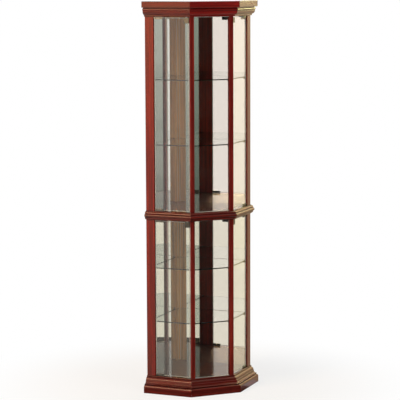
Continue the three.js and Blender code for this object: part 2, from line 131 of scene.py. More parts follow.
def lightAir(facts):
    world = bpy.data.worlds.new("studio_air")
    world.use_nodes = True
    tree = world.node_tree
    tree.nodes.clear()
    towards = addNode(tree, "TexCoord").outputs["Generated"]
    rise = addNode(tree, "SeparateXYZ", {0: towards}).outputs["Z"]
    low, high = facts["airLevel"]
    level = addNode(tree, "MapRange", {"Value": rise, "To Min": low, "To Max": high})
    soft = addNode(tree, "Background", {"Color": linear(facts["air"]), "Strength": level.outputs[0]})
    white = addNode(tree, "Background", {"Color": (1, 1, 1, 1), "Strength": 1.0})
    mixed = addNode(tree, "MixShader", {0: plainRays(tree), 1: soft.outputs[0], 2: white.outputs[0]})
    addNode(tree, "OutputWorld", {"Surface": mixed.outputs[0]})
    bpy.context.scene.world = world


def addSoftbox(name, facts):
    data = bpy.data.lights.new(name, "AREA")
    data.shape = "SQUARE"
    data.size = facts["size"]
    data.energy = facts["power"]
    data.color = linear(facts["colour"])[:3]
    lamp = bpy.data.objects.new(name, data)
    bpy.context.scene.collection.objects.link(lamp)
    aim = Vector((0, 0, facts["high"])) - Vector(facts["place"])
    turned = aim.to_track_quat("-Z", "Y").to_matrix().to_4x4()
    lamp.matrix_world = Matrix.Translation(facts["place"]) @ turned
    lamp.visible_glossy = facts["gloss"]
    lamp.visible_diffuse = facts.get("matt", True)


def flatSheet(name, corners, material):
    # one or more four-cornered faces from a list of corner points
    mesh = bpy.data.meshes.new(name)
    faces = [tuple(range(i, i + 4)) for i in range(0, len(corners), 4)]
    mesh.from_pydata(corners, [], faces)
    mesh.materials.append(material)
    sheet = bpy.data.objects.new(name, mesh)
    bpy.context.scene.collection.objects.link(sheet)
    return sheet


def paperFloor(facts):
    # matt white paper: it takes the cabinet's soft shadow close by and runs out to pure white
    material, tree = newTree("white_paper_floor")
    place = addNode(tree, "TexCoord").outputs["Object"]
    away = addNode(tree, "VectorMath", {0: place}, operation="LENGTH").outputs["Value"]
    shade = facts["shade"]
    fade = addNode(tree, "MapRange", {
        "Value": away, "From Min": shade["near"], "From Max": shade["far"], "To Min": shade["least"],
    }, interpolation_type="SMOOTHSTEP")
    share = addNode(tree, "Math", {0: plainRays(tree), 1: fade.outputs[0]}, operation="MULTIPLY")
    matt = addNode(tree, "BsdfDiffuse", {"Color": linear(facts["floorColour"]), "Roughness": 0.5})
    plain = addNode(tree, "Emission", {"Color": (1, 1, 1, 1), "Strength": 1.0})
    mixed = addNode(tree, "MixShader", {0: share.outputs[0], 1: matt.outputs[0], 2: plain.outputs[0]})
    addNode(tree, "OutputMaterial", {"Surface": mixed.outputs[0]})
    half = facts["floorHalf"]
    corners = [(-half, -half, 0), (half, -half, 0), (half, half, 0), (-half, half, 0)]
    flatSheet("paper_floor", corners, material)


def glowCard(name, corners, facts):
    # a card that only shows in a mirror or on gloss, darker or paler towards its foot
    material, tree = newTree(name)
    colour = linear(facts["colour"])
    if "foot" in facts:
        place = addNode(tree, "TexCoord").outputs["Object"]
        rise = addNode(tree, "SeparateXYZ", {0: place}).outputs["Z"]
        share = addNode(tree, "MapRange", {"Value": rise, "From Max": facts["fade"]}).outputs[0]
        mixed = addNode(tree, "Mix", {0: share, 6: linear(facts["foot"]), 7: colour}, data_type="RGBA")
        colour = mixed.outputs[2]
    glow = addNode(tree, "Emission", {"Color": colour, "Strength": facts["strength"]})
    clear = addNode(tree, "BsdfTransparent")
    mirrored = addNode(tree, "LightPath").outputs["Glossy Depth"]  # 0 straight through an open door
    seen = addNode(tree, "MixShader", {0: mirrored, 1: clear.outputs[0], 2: glow.outputs[0]})
    addNode(tree, "OutputMaterial", {"Surface": seen.outputs[0]})
    card = flatSheet(name, corners, material)
    card.visible_camera = card.visible_diffuse = card.visible_shadow = False


lightAir(studioFacts)
paperFloor(studioFacts)
for lampName, lamp in lampFacts.items():
    addSoftbox(lampName, lamp)

# What the mirrors and the lacquer see of the studio. Turns are in degrees from +X towards +Y, and
# lengths in metres from the cabinet's middle.
cardLift = 0.0006
cardStep = 10
floorCards = {
    # the two darker cards close round the cabinet are painted shadow on the floor, as mirrors and gloss see
    # it
    "dark_mat_left": dict(turns=(160, 228), near=0, far=0.5, colour="#6c675d", strength=1.0),
    "pale_floor_left": dict(turns=(160, 228), near=0.5, far=6.0, colour="#fff5ea", strength=1.04),
    "dark_mat_camera_side": dict(turns=(228, 262), near=0, far=0.68, colour="#2b2820", strength=1.0),
    "pale_floor_camera_side": dict(turns=(228, 262), near=0.68, far=6.0, colour="#f6f1e2", strength=1.0),
    "grey_floor_right": dict(turns=(262, 325), near=0, far=9.5, colour="#45423f", strength=1.0),
    "cream_floor_right": dict(turns=(-12, 62), near=0, far=3.4, colour="#c9bb98", strength=1.35),
}
wallCards = {  # a foot colour fades out at a height in metres
    "teal_wall_camera_side": dict(turns=(228, 245.8), far=6.0, height=4.5, colour="#98a49b",
                                  foot="#606d65", fade=1.5, strength=1.0),
    "grey_wall_camera_side": dict(turns=(245.8, 262), far=6.0, height=4.5, colour="#b2b7b1",
                                  foot="#7f837b", fade=1.5, strength=1.0),
    "dark_wall_right": dict(turns=(262, 325), far=9.5, height=14, colour="#2c2725", strength=1.0),
    "cream_wall_right": dict(turns=(-12, 62), far=3.4, height=3.0, colour="#ffe8c9", foot="#cfc08e",
                             fade=1.75, strength=1.35),
    "cream_wall_left": dict(turns=(160, 228), far=6.0, height=4.5, colour="#fff3f0", strength=1.12),
    "dim_wall_top_left": dict(turns=(160, 228), far=6.1, height=14, colour="#3d3530", strength=1.0),
    "bright_door_edge": dict(turns=(247.5, 247.75), far=5.95, height=4.5, colour="#ffffff", strength=1.0),
}


def around(turn, radius, height):
    return (radius * math.cos(math.radians(turn)), radius * math.sin(math.radians(turn)), height)


def turnSteps(first, last):
    count = max(1, round((last - first) / cardStep))
    turns = [first + (last - first) * i / count for i in range(count + 1)]
    return list(zip(turns, turns[1:]))


for name, card in floorCards.items():
    corners = []
    for a, b in turnSteps(*card["turns"]):
        corners += [around(a, card["near"], cardLift), around(a, card["far"], cardLift)]
        corners += [around(b, card["far"], cardLift), around(b, card["near"], cardLift)]
    glowCard(name, corners, card)
for name, card in wallCards.items():
    corners = []
    for a, b in turnSteps(*card["turns"]):
        corners += [around(a, card["far"], cardLift), around(b, card["far"], cardLift)]
        corners += [around(b, card["far"], card["height"]), around(a, card["far"], card["height"])]
    glowCard(name, corners, card)
print("studio lit")

noiseSpan = {"From Min": 0.3, "From Max": 0.7}  # the values that a noise mostly takes
cherryFacts = {
    "streak": (2.2, 150),  # mm across and along the grain
    "figure": (13, 430),
    "pores": (0.9, 14),  # real pores are 0.3 mm wide, drawn wider so that they show
    "seeds": (0.13, 0.41, 0.77),  # of the streaks, the figure and the pores
    "figureShare": 0.5,
    "tones": (0.38, 0.62),  # where the blend of streak and figure is darkest and lightest
    "poreSpan": {"From Min": 0.63, "From Max": 0.72},  # where a pore starts and where it is full
    "edge": 0.9,  # mm, width of the rounded edges, worn lighter and painted lighter as a highlight
    "edgeSpan": {"From Min": 0.985, "From Max": 0.87},  # cosine of the turn, wear and painted highlight from none to full
    # how much lighter the edges are drawn: part wear, part painted highlight
    "wearAndHighlight": 0.6,
    "shadedGrooveReach": 7,  # mm, how near a facing surface must be to darken the stain, as painted shade
    "shadedGrooveSpan": {"From Min": 0.8, "From Max": 0.3, "To Max": 0.9},  # from the open share of the view to the share of painted shade
    "ripple": 9,  # mm, the faint waves of the sprayed coat
    "streakShare": 0.3,  # how much of the streaks shows as relief beside the ripple
    "woodRelief": {"Strength": 0.25, "Distance": 0.15 * mm},
    "coatRelief": {"Strength": 0.12, "Distance": 0.2 * mm},
    "gloss": {"To Min": 0.38, "To Max": 0.5},  # roughness of the wood under the coat
    "sheen": "#ffbc84",  # stained fibre throws light back warm
    "coat": 0.4,
    "coatRoughness": 0.05,
}
uprightStain = {"dark": "#56090d", "body": "#711014", "light": "#8d1f19", "pore": "#270506"}
mouldingStain = {"dark": "#40060a", "body": "#560b10", "light": "#701715", "pore": "#1c0304"}
# a lighter copy of the moulding stain for the front crown only: painted light where the lamps fall on it
litCrownStain = {"dark": "#61070e", "body": "#7c0b13", "light": "#94171a", "pore": "#2a0406"}
levelStain = {"dark": "#34150e", "body": "#462016", "light": "#582b1d", "pore": "#180403"}
levelFacts = {**cherryFacts, "coat": 1.0}  # the boards that things stand on have the deepest gloss


def grained(tree, place, size, turn, upright, seed):
    # coordinates that count in grain widths and lengths, with the grain along the piece; the seed
    # shifts them, so that no two layers line up
    across, along = size
    scale = (across, across, along) if upright else (along, across, across)
    return addNode(tree, "Mapping", {
        "Vector": place,
        "Location": (seed, seed * 1.7, seed * 0.6),
        "Rotation": (0, 0, turn),
        "Scale": [s * mm for s in scale],
    }, vector_type="TEXTURE").outputs[0]


def boardGrain(tree, place, size, seed):
    # the same for boards set on edge in any direction: the grain runs level along each upright face
    across, along = size
    normal = addNode(tree, "NewGeometry").outputs["True Normal"]
    level = addNode(tree, "VectorMath", {0: normal, 1: (0, 0, 1)}, operation="CROSS_PRODUCT").outputs[0]
    run = addNode(tree, "VectorMath", {0: place, 1: level}, operation="DOT_PRODUCT").outputs["Value"]
    deep = addNode(tree, "VectorMath", {0: place, 1: normal}, operation="DOT_PRODUCT").outputs["Value"]
    rise = addNode(tree, "SeparateXYZ", {0: place}).outputs["Z"]
    return addNode(tree, "Mapping", {
        "Vector": addNode(tree, "CombineXYZ", {0: run, 1: deep, 2: rise}).outputs[0],
        "Location": (seed, seed * 1.7, seed * 0.6),
        "Scale": [s * mm for s in (along, across, across)],
    }, vector_type="TEXTURE").outputs[0]


def stainRamp(tree, value, stain, tones):
    low, high = tones
    ramp = addNode(tree, "ValToRGB", {0: value})
    stops = ramp.color_ramp.elements
    stops[0].position, stops[0].color = low, linear(stain["dark"])
    stops[1].position, stops[1].color = high, linear(stain["light"])
    stops.new((low + high) / 2).color = linear(stain["body"])
    return ramp.outputs[0]


def arrises(tree, width, span):
    # a mask of the corners, where the rounded normal leaves the flat one, and that rounded normal
    rounded = addNode(tree, "Bevel", {"Radius": width * mm}, samples=6).outputs[0]
    flat = addNode(tree, "NewGeometry").outputs["True Normal"]
    agree = addNode(tree, "VectorMath", {0: rounded, 1: flat}, operation="DOT_PRODUCT").outputs["Value"]
    return addNode(tree, "MapRange", {"Value": agree, **span}).outputs[0], rounded


def cherryLacquer(name, stain, turn, upright, facts=cherryFacts):
    # Cherry-stained hardwood under sprayed gloss lacquer: fine straight grain deep in a red-brown
    # stain, a mirror-like coat with a faint spray ripple, painted shade in the grooves, and arrises
    # worn a little lighter, partly as a painted highlight.
    material, tree = newTree(name)
    place = addNode(tree, "TexCoord").outputs["Object"]
    streakSeed, figureSeed, poreSeed = facts["seeds"]
    streaks = grained(tree, place, facts["streak"], turn, upright, streakSeed)
    streak = addNode(tree, "TexNoise", {"Vector": streaks, "Scale": 1.0, "Detail": 3.0, "Roughness": 0.6})
    figures = grained(tree, place, facts["figure"], turn, upright, figureSeed)
    figure = addNode(tree, "TexNoise", {"Vector": figures, "Scale": 1.0, "Detail": 4.0, "Distortion": 0.5})
    poreRows = grained(tree, place, facts["pores"], turn, upright, poreSeed)
    pores = addNode(tree, "TexNoise", {"Vector": poreRows, "Scale": 1.0, "Detail": 1.0})
    blend = addNode(tree, "Mix", {
        0: facts["figureShare"], 2: streak.outputs[0], 3: figure.outputs[0],
    }, data_type="FLOAT")
    tone = stainRamp(tree, blend.outputs[0], stain, facts["tones"])
    poreMask = addNode(tree, "MapRange", {"Value": pores.outputs[0], **facts["poreSpan"]})
    pore = linear(stain["pore"])
    dotted = addNode(tree, "Mix", {0: poreMask.outputs[0], 6: tone, 7: pore}, data_type="RGBA")
    # the stain is darker in the grooves, partly as painted shade, and worn lighter off the corners, partly as
    # a painted highlight
    openness = addNode(tree, "AmbientOcclusion", {"Distance": facts["shadedGrooveReach"] * mm}, samples=8).outputs["AO"]
    grooveShadeShare = addNode(tree, "MapRange", {"Value": openness, **facts["shadedGrooveSpan"]})
    stainedAndShaded = addNode(tree, "Mix", {0: grooveShadeShare.outputs[0], 6: dotted.outputs[2], 7: pore}, data_type="RGBA")
    edge, rounded = arrises(tree, facts["edge"], facts["edgeSpan"])
    # lighter edges: wear, with a painted highlight on top of it
    wearAndHighlight = addNode(tree, "Math", {0: edge, 1: facts["wearAndHighlight"]}, operation="MULTIPLY").outputs[0]
    light = linear(stain["light"])
    colour = addNode(tree, "Mix", {0: wearAndHighlight, 6: stainedAndShaded.outputs[2], 7: light}, data_type="RGBA")
    rough = addNode(tree, "MapRange", {"Value": figure.outputs[0], **noiseSpan, **facts["gloss"]})
    rippleScale = 1 / (facts["ripple"] * mm)
    ripple = addNode(tree, "TexNoise", {"Vector": place, "Scale": rippleScale, "Detail": 1.0}).outputs[0]
    relief = addNode(tree, "Math", {
        0: streak.outputs[0], 1: facts["streakShare"], 2: ripple,
    }, operation="MULTIPLY_ADD").outputs[0]
    bump = addNode(tree, "Bump", {"Height": relief, "Normal": rounded, **facts["woodRelief"]})
    skin = addNode(tree, "Bump", {"Height": ripple, "Normal": rounded, **facts["coatRelief"]})
    wood = addNode(tree, "BsdfPrincipled", {
        "Base Color": colour.outputs[2],
        "Roughness": rough.outputs[0],
        "IOR": 1.5,
        "Specular IOR Level": 0.4,
        "Specular Tint": linear(facts["sheen"]),
        "Coat Weight": facts["coat"],
        "Coat Roughness": facts["coatRoughness"],
        "Normal": bump.outputs[0],
        "Coat Normal": skin.outputs[0],
    })
    addNode(tree, "OutputMaterial", {"Surface": wood.outputs[0]})
    return material


satinFacts = {
    "seeds": (0.31, 0.57),
    "figureShare": 0.6,
    "tones": (0.36, 0.66),
    "relief": {"Strength": 0.3, "Distance": 0.15 * mm},
    "gloss": {"To Min": 0.4, "To Max": 0.55},
}

veneerFacts = {
    **satinFacts,
    "dark": "#9b6433",
    "body": "#d59757",
    "light": "#edb671",
    "streak": (1.8, 160),
    "figure": (7, 500),
}

pineFacts = {
    **satinFacts,
    "dark": "#9a7850",
    "body": "#bb986c",
    "light": "#d2b389",
    "streak": (2.4, 190),
    "figure": (11, 600),
}

beadWoodFacts = {
    **satinFacts,
    "dark": "#b79b78",
    "body": "#d8c09c",
    "light": "#ead7b8",
    "streak": (0.9, 60),
    "figure": (4, 200),
}


def ribbons(tree, place, size, upright, seed):
    if upright:
        return grained(tree, place, size, 0, True, seed)
    return boardGrain(tree, place, size, seed)


def veneer(name, upright, facts):
    # Veneer, pine or the bead's pale wood under a satin sealer: even ribbon grain, no high gloss.
    material, tree = newTree(name)
    place = addNode(tree, "TexCoord").outputs["Object"]
    streakSeed, figureSeed = facts["seeds"]
    streaks = ribbons(tree, place, facts["streak"], upright, streakSeed)
    streak = addNode(tree, "TexNoise", {"Vector": streaks, "Scale": 1.0, "Detail": 2.0})
    figures = ribbons(tree, place, facts["figure"], upright, figureSeed)
    figure = addNode(tree, "TexNoise", {"Vector": figures, "Scale": 1.0, "Detail": 3.0, "Distortion": 0.3})
    blend = addNode(tree, "Mix", {
        0: facts["figureShare"], 2: streak.outputs[0], 3: figure.outputs[0],
    }, data_type="FLOAT")
    rough = addNode(tree, "MapRange", {"Value": figure.outputs[0], **noiseSpan, **facts["gloss"]})
    bump = addNode(tree, "Bump", {"Height": streak.outputs[0], **facts["relief"]})
    wood = addNode(tree, "BsdfPrincipled", {
        "Base Color": stainRamp(tree, blend.outputs[0], facts, facts["tones"]),
        "Roughness": rough.outputs[0],
        "IOR": 1.5,
        "Coat Weight": 0.2,
        "Coat Roughness": 0.25,
        "Normal": bump.outputs[0],
    })
    addNode(tree, "OutputMaterial", {"Surface": wood.outputs[0]})
    return material


glassFacts = {
    "tint": "#fdfefd",
    "shade": "#f6f8f6",  # what soft light keeps on its way through
    "body": "#aadec4",
    "density": 10,  # so that 5 mm is clear and a 300 mm long edge is green
    "ground": "#f8fbf6",
    "grit": 1.5,  # mm, real grinding is finer, drawn coarser so that it shows
    "gloss": {"To Min": 0.3, "To Max": 0.6},  # roughness of the ground edge
    "groundClear": 0.15,
    "sideSpan": {"From Min": 0.95, "From Max": 0.8},  # cosine of the turn from the sheet's face
    "arris": 3.5,  # mm, the ground strip along each corner of a sheet, drawn wider so that it shows
    "arrisSpan": {"From Min": 0.998, "From Max": 0.97},
}


def floatGlass(name, facing, facts=glassFacts):
    # Clear float glass: colourless through the face and green along the sheet. Lamps and soft light
    # pass straight through it. With a facing, the edges of that sheet are ground, pale and matt.
    material, tree = newTree(name)
    sheet = addNode(tree, "BsdfPrincipled", {
        "Base Color": linear(facts["tint"]), "Roughness": 0.0, "IOR": 1.5, "Transmission Weight": 1.0,
    }).outputs[0]
    if facing:
        # the sheet's own directions, which turn with the door
        turned = addNode(tree, "VectorTransform", {
            "Vector": addNode(tree, "NewGeometry").outputs["True Normal"],
        }, vector_type="NORMAL", convert_from="WORLD", convert_to="OBJECT").outputs[0]
        along = addNode(tree, "VectorMath", {0: turned, 1: facing}, operation="DOT_PRODUCT").outputs["Value"]
        flatness = addNode(tree, "Math", {0: along}, operation="ABSOLUTE").outputs[0]
        side = addNode(tree, "MapRange", {"Value": flatness, **facts["sideSpan"]}).outputs[0]
        corner = arrises(tree, facts["arris"], facts["arrisSpan"])[0]
        mask = addNode(tree, "Math", {0: side, 1: corner}, operation="MAXIMUM").outputs[0]
        grit = addNode(tree, "TexNoise", {"Scale": 1 / (facts["grit"] * mm), "Detail": 2.0}).outputs[0]
        rough = addNode(tree, "MapRange", {"Value": grit, **facts["gloss"]})
        ground = addNode(tree, "BsdfPrincipled", {
            "Base Color": linear(facts["ground"]),
            "Roughness": rough.outputs[0],
            "IOR": 1.5,
            "Transmission Weight": facts["groundClear"],
        }).outputs[0]
        sheet = addNode(tree, "MixShader", {0: mask, 1: sheet, 2: ground}).outputs[0]
    through = addNode(tree, "BsdfTransparent", {"Color": linear(facts["shade"])})
    path = addNode(tree, "LightPath").outputs
    plain = addNode(tree, "Math", {
        0: path["Is Shadow Ray"], 1: path["Is Diffuse Ray"],
    }, operation="MAXIMUM").outputs[0]
    mixed = addNode(tree, "MixShader", {0: plain, 1: sheet, 2: through.outputs[0]})
    body = addNode(tree, "VolumeAbsorption", {"Color": linear(facts["body"]), "Density": facts["density"]})
    addNode(tree, "OutputMaterial", {"Surface": mixed.outputs[0], "Volume": body.outputs[0]})
    return material


mirrorFacts = {
    "silver": "#f1eeea",
    "cloud": 60,  # mm, the size of a hazy patch
    "cloudSpan": {"From Min": 0.4, "From Max": 0.8},
    "gloss": {"To Min": 0.0, "To Max": 0.02},
}


def silverMirror(name, facts=mirrorFacts):
    # Silver behind clear glass: an even, slightly warm reflection with the faintest haze.
    material, tree = newTree(name)
    haze = addNode(tree, "TexNoise", {"Scale": 1 / (facts["cloud"] * mm), "Detail": 3.0}).outputs[0]
    rough = addNode(tree, "MapRange", {"Value": haze, **facts["cloudSpan"], **facts["gloss"]})
    silver = addNode(tree, "BsdfPrincipled", {
        "Base Color": linear(facts["silver"]), "Metallic": 1.0, "Roughness": rough.outputs[0],
    })
    addNode(tree, "OutputMaterial", {"Surface": silver.outputs[0]})
    return material


nickelFacts = {
    "colour": "#5a5752",
    "lines": (0.4, 0.4, 9),  # mm, real rolling lines are finer, drawn coarser so that they show
    "relief": {"Strength": 0.2, "Distance": 0.05 * mm},
    "gloss": {"To Min": 0.4, "To Max": 0.58},
}
brightFacts = {**nickelFacts, "colour": "#716e67", "gloss": {"To Min": 0.36, "To Max": 0.5}}
blackenedFacts = {**nickelFacts, "colour": "#4d4a44", "gloss": {"To Min": 0.3, "To Max": 0.45}}


def platedSteel(name, facts):
    # Plated pressed steel: grey, slightly warm, with fine rolling lines.
    material, tree = newTree(name)
    place = addNode(tree, "TexCoord").outputs["Object"]
    lines = addNode(tree, "Mapping", {
        "Vector": place, "Scale": [s * mm for s in facts["lines"]],
    }, vector_type="TEXTURE")
    rolled = addNode(tree, "TexNoise", {
        "Vector": lines.outputs[0], "Scale": 1.0, "Detail": 2.0,
    }).outputs[0]
    rough = addNode(tree, "MapRange", {"Value": rolled, **facts["gloss"]})
    bump = addNode(tree, "Bump", {"Height": rolled, **facts["relief"]})
    metal = addNode(tree, "BsdfPrincipled", {
        "Base Color": linear(facts["colour"]),
        "Metallic": 1.0,
        "Roughness": rough.outputs[0],
        "Normal": bump.outputs[0],
    })
    addNode(tree, "OutputMaterial", {"Surface": metal.outputs[0]})
    return material


plasticFacts = {
    "dark": "#141517",
    "light": "#24262a",
    "grain": 0.7,  # mm
    "relief": {"Strength": 0.3, "Distance": 0.08 * mm},
    "gloss": {"To Min": 0.42, "To Max": 0.58},
}


def blackPlastic(name, facts=plasticFacts):
    # Injection-moulded plastic, dyed black, with a fine spark-eroded grain.
    material, tree = newTree(name)
    grit = addNode(tree, "TexVoronoi", {"Scale": 1 / (facts["grain"] * mm)}).outputs["Distance"]
    colour = addNode(tree, "Mix", {
        0: grit, 6: linear(facts["dark"]), 7: linear(facts["light"]),
    }, data_type="RGBA")
    rough = addNode(tree, "MapRange", {"Value": grit, **facts["gloss"]})
    bump = addNode(tree, "Bump", {"Height": grit, **facts["relief"]})
    plastic = addNode(tree, "BsdfPrincipled", {
        "Base Color": colour.outputs[2],
        "Roughness": rough.outputs[0],
        "IOR": 1.54,
        "Normal": bump.outputs[0],
    })
    addNode(tree, "OutputMaterial", {"Surface": plastic.outputs[0]})
    return material


boardFacts = {
    "dark": "#54381f",
    "body": "#6f5031",
    "light": "#8d6b45",
    "fibre": 2.5,  # mm
    "cloud": 70,
    "cloudShare": 0.35,
    "tones": (0.38, 0.64),
    "relief": {"Strength": 0.5, "Distance": 0.2 * mm},
    "gloss": {"To Min": 0.7, "To Max": 0.9},
}


def pressedBoard(name, facts=boardFacts):
    # Hardboard, pressed from steamed fibre: brown and matt, with short random fibres in soft clouds.
    material, tree = newTree(name)
    fibre = addNode(tree, "TexNoise", {
        "Scale": 1 / (facts["fibre"] * mm), "Detail": 4.0, "Roughness": 0.7, "Distortion": 1.2,
    }).outputs[0]
    cloud = addNode(tree, "TexNoise", {"Scale": 1 / (facts["cloud"] * mm), "Detail": 2.0}).outputs[0]
    blend = addNode(tree, "Mix", {0: facts["cloudShare"], 2: fibre, 3: cloud}, data_type="FLOAT")
    rough = addNode(tree, "MapRange", {"Value": fibre, **facts["gloss"]})
    bump = addNode(tree, "Bump", {"Height": fibre, **facts["relief"]})
    board = addNode(tree, "BsdfPrincipled", {
        "Base Color": stainRamp(tree, blend.outputs[0], facts, facts["tones"]),
        "Roughness": rough.outputs[0],
        "IOR": 1.45,
        "Normal": bump.outputs[0],
    })
    addNode(tree, "OutputMaterial", {"Surface": board.outputs[0]})
    return material


cherryUpright = cherryLacquer("gloss_cherry_lacquer_uprights", uprightStain, 0, True)
cherryLevel = cherryLacquer("gloss_cherry_lacquer_boards", levelStain, 0, False, levelFacts)
cherryMoulding = {
    "front": cherryLacquer("gloss_cherry_lacquer_front_mouldings", mouldingStain, 0, False),
    "left": cherryLacquer("gloss_cherry_lacquer_left_mouldings", mouldingStain, -eighth, False),
    "right": cherryLacquer("gloss_cherry_lacquer_right_mouldings", mouldingStain, eighth, False),
}
# lighter than the left and right crowns of the same moulding: painted light
frontCrownLit = cherryLacquer("gloss_cherry_lacquer_front_crown_lit", litCrownStain, 0, False)
veneerUpright = veneer("satin_veneer_uprights", True, veneerFacts)
pineBoards = veneer("planed_pine_boards", False, pineFacts)
beadWood = veneer("pale_sanded_hardwood_bead", True, beadWoodFacts)
panes = {
    "lower": floatGlass("clear_float_glass_front", (0, 1, 0)),
    "upper": floatGlass("clear_float_glass_front_upper", (0, 1, 0)),
    "left": floatGlass("clear_float_glass_left_doors", (slant, slant, 0)),
    "right": floatGlass("clear_float_glass_right_doors", (-slant, slant, 0)),
}
shelfGlass = floatGlass("clear_float_glass_shelves", None)
mirrorSilver = silverMirror("silvered_mirror_glass")
nickel = platedSteel("satin_nickel_plated_steel", nickelFacts)
brightNickel = platedSteel("bright_nickel_plated_steel", brightFacts)
blackenedSteel = platedSteel("dark_nickel_plated_steel", blackenedFacts)
latchBlack = blackPlastic("moulded_black_plastic")
fibreBoard = pressedBoard("pressed_fibre_hardboard")


def finishFor(name):
    last = name.split("_")[-1]
    # the front crown takes the lighter copy of the stain, which is painted light
    if name == "crown_front":
        return frontCrownLit
    if name.startswith(("plinth", "base_cap", "waist_rail", "crown")):
        return cherryMoulding[last]
    if name.startswith(("front_post", "side_stile")):
        return cherryUpright
    if name in ("floor_board", "middle_deck", "ceiling_board", "top_board"):
        return cherryLevel
    if name.startswith("corner_board"):
        return veneerUpright
    if name in ("base_frame", "top_frame"):
        return pineBoards
    if name.startswith("back_panel"):
        return fibreBoard
    if name.startswith("mirror"):
        return mirrorSilver
    if name.startswith(("door_glass", "front_glass")):
        return panes[last]
    if name.startswith("shelf"):
        return shelfGlass
    if name.startswith("latch_body"):
        return latchBlack
    if name.startswith("pivot_clip"):
        return brightNickel
    if name.startswith("strike_plate"):
        return blackenedSteel
    return nickel


for name, piece in nodes.items():
    piece.data.materials.clear()
    piece.data.materials.append(finishFor(name))
print("finishes on", len(nodes), "nodes")

# The plan and the levels that the small fittings are placed by, in millimetres as in the model
plan = {"centreFace": 214, "sideFace": 221, "plinthReach": 40, "cornerBoard": 8}
stories = {"lower": (76, 806), "upper": (846, 1731)}
hands = {"left": -1, "right": 1}
sideRun = plan["sideFace"] * slant
halfWidth = plan["centreFace"] / 2 + sideRun
frontPlace = (plan["plinthReach"] - sideRun - halfWidth) / 2  # y of the front face, the whole centred


def frameAt(x, y, turn):
    # on a face, x runs along it from its middle and y runs into the cabinet
    return Matrix.Translation((x * mm, (y + frontPlace) * mm, 0)) @ Matrix.Rotation(turn, 4, "Z")


frontFrame = frameAt(0, 0, 0)
sideFrames = {
    hand: frameAt(side * (halfWidth - sideRun / 2), sideRun / 2, side * eighth)
    for hand, side in hands.items()
}
wallFrames = {
    hand: frameAt(side * halfWidth / 2, sideRun + halfWidth / 2, side * 3 * eighth)
    for hand, side in hands.items()
}
inwards = Matrix.Rotation(-math.pi / 2, 4, "X")  # turns a fitting's axis from up to a frame's y
outwards = Matrix.Rotation(math.pi / 2, 4, "X")
downwards = Matrix.Rotation(math.pi, 4, "X")
ringPoints = 24
ringStep = 360 / ringPoints  # degrees
sharpFrom = 38  # degrees between two faces, from which their edge is drawn sharp


def spot(faceFrame, x, y, z, turned):
    return faceFrame @ Matrix.Translation((x * mm, y * mm, z * mm)) @ turned


def circle(radius, height, sixSided=False):
    # 24 points round a circle, or round a hexagon with its corners on that circle
    points = []
    for i in range(ringPoints):
        turn = math.radians(ringStep * (i - 1))
        fromFlat = math.radians(ringStep * abs(i % 4 - 2))
        reach = radius * (math.cos(math.pi / 6) / math.cos(fromFlat) if sixSided else 1)
        points.append((reach * math.cos(turn), reach * math.sin(turn), height))
    return points


def cross(arm, half, height):
    # 24 points round a cross with arms of this length and half width
    corners = []
    for i in range(4):
        for x, y in ((arm, -half), (arm, half), (half, half)):
            for _ in range(i):
                x, y = -y, x
            corners.append((x, y))
    points = []
    for (x, y), (nextX, nextY) in zip(corners, corners[1:] + corners[:1]):
        points += [(x, y, height), ((x + nextX) / 2, (y + nextY) / 2, height)]
    return points


def addFitting(name, parts, body, finish):
    # each part is a place and a stack of rings, joined from the first to the last and closed
    work = bmesh.new()
    for place, rings in parts:
        rows = [[work.verts.new(place @ (Vector(point) * mm)) for point in ring] for ring in rings]
        work.faces.new(rows[0][::-1])
        work.faces.new(rows[-1])
        for low, high in zip(rows, rows[1:]):
            for i in range(len(low)):
                work.faces.new((low[i - 1], low[i], high[i], high[i - 1]))
    bmesh.ops.recalc_face_normals(work, faces=work.faces)
    mesh = bpy.data.meshes.new(name)
    work.to_mesh(mesh)
    work.free()
    mesh.materials.append(finish)
    mesh.shade_smooth()
    mesh.set_sharp_from_angle(angle=math.radians(sharpFrom))
    piece = bpy.data.objects.new(name, mesh)
    bpy.context.scene.collection.objects.link(piece)
    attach(piece, body)


# Nickel sleeves over the shelf pegs: a flange against the upright and a rounded nose
sleeveFacts = {
    "radius": 2.58,
    "nose": ((1, 0.9), (0.9, 0.35), (0.66, 0)),  # shares of the radius, and mm back from the end
    "flange": 4.0,
    "flangeThick": 1.0,
    "rim": ((1, 0.6), (0.9, 1)),  # shares of the flange's radius and thickness
    "off": 0.02,  # clear of the upright's face
    "spare": 0.45,  # of the nose beyond the peg
    "underShelf": 7.61,  # from a shelf's top down to the axis
    "shelfTops": (330.8, 581.2, 1150.4, 1447.8),
    "shelfThick": 5,
}
pegRows = {  # place across the frame, face of the upright, end of the peg
    "front_post": (90.0, 18, 27),
    "side_stile": (89.5, 13, 32.87),
    "corner_board": (158.16, 8, 18),
}


def sleeveRings(length, facts):
    radius, flange, thick = facts["radius"], facts["flange"], facts["flangeThick"]
    end = length + facts["spare"]
    rim = [circle(flange * out, thick * up) for out, up in facts["rim"]]
    nose = [circle(radius * out, end - back) for out, back in facts["nose"]]
    return [circle(flange, facts["off"]), *rim, circle(radius, thick), *nose]


for hand, side in hands.items():
    rowFrames = {"front_post": frontFrame, "side_stile": sideFrames[hand], "corner_board": wallFrames[hand]}
    for upright, (across, face, end) in pegRows.items():
        rings = sleeveRings(end - face, sleeveFacts)
        addFitting(f"peg_sleeves_{upright}_{hand}", [
            (spot(rowFrames[upright], side * across, face, top - sleeveFacts["underShelf"], inwards), rings)
            for top in sleeveFacts["shelfTops"]
        ], "cabinet", nickel)

